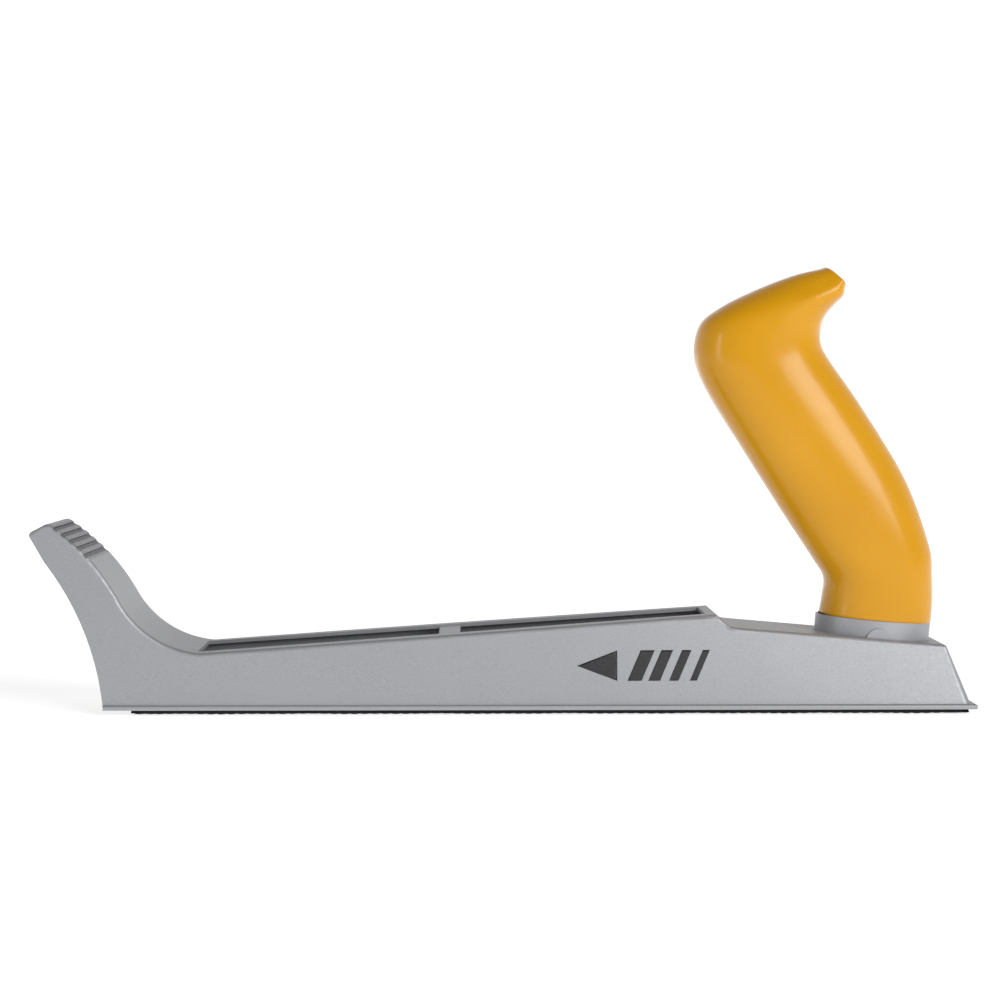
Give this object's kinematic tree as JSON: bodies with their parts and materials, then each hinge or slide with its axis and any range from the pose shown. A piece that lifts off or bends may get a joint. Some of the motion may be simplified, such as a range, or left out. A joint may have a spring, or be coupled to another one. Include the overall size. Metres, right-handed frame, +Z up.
{
  "type": "hand plane",
  "caption": "Rasp plane with a hollow cast body, front horn, chip windows, a perforated blade under the sole and a rear handle that turns on a collar.",
  "frame": {"origin": "middle of the bounding box's bottom, on the surface that the teeth rest on", "axes": "+X towards the handle end, the horn points to -X, +Y to the far side, +Z up"},
  "size_m": [0.2819, 0.0444, 0.1341],
  "materials": {
    "cast_silver": "fine silver paint over a die casting",
    "blade_black": "hardened steel with a black finish",
    "zinc_plated": "zinc-plated steel",
    "spring_steel": "bright spring steel",
    "brass_nut": "turned brass",
    "amber_plastic": "amber-yellow gloss moulding",
    "dark_fibre": "dark vulcanised fibre",
    "black_screw": "black oxide steel"
  },
  "bodies": {
    "frame": {"body_casting": "cast_silver", "rasp_blade": "blade_black", "rear_blade_catch": "zinc_plated", "catch_screw_left": "zinc_plated", "catch_screw_right": "zinc_plated", "thrust_washer": "zinc_plated", "hook_return_spring": "spring_steel"},
    "tension_hook": {"blade_hook": "zinc_plated", "hook_stud": "zinc_plated", "stud_rivet_washer": "zinc_plated"},
    "tension_nut": {"thumb_nut": "brass_nut"},
    "handle": {"handle_grip": "amber_plastic", "handle_spigot": "zinc_plated", "spigot_cross_pin": "zinc_plated", "friction_washer": "dark_fibre", "bolt_washer": "zinc_plated", "spring_washer": "spring_steel", "handle_bolt": "zinc_plated"},
    "clamp_pad": {"lock_pad": "brass_nut"},
    "clamp_screw": {"lock_screw": "black_screw"}
  },
  "joints": [
    {"name": "handle_turn", "type": "hinge", "parent": "frame", "child": "handle", "pos_m": [0.113, 0, 0.0219], "axis": [0.0846, 0, 0.9964], "range_deg": [0, 180]},
    {"name": "blade_tension", "type": "slide", "parent": "frame", "child": "tension_hook", "axis": [1, 0, 0], "range_m": [0, 0.0032], "deforming": ["hook_return_spring"]},
    {"name": "nut_turn", "type": "hinge", "parent": "frame", "child": "tension_nut", "pos_m": [-0.114, 0, 0.012], "axis": [-1, 0, 0], "range_deg": [0, 1440]},
    {"name": "clamp_travel", "type": "slide", "parent": "frame", "child": "clamp_pad", "axis": [0, 1, 0], "range_m": [0, 0.0014]},
    {"name": "clamp_screw_turn", "type": "hinge", "parent": "clamp_pad", "child": "clamp_screw", "pos_m": [0.11318, 0.011, 0.02399], "axis": [0, 1, 0], "range_deg": [0, 720]}
  ],
  "couplings": [
    {"joint": "nut_turn", "follows": "blade_tension", "rad_per_m": 7854},
    {"joint": "clamp_screw_turn", "follows": "clamp_travel", "rad_per_m": 8976}
  ]
}
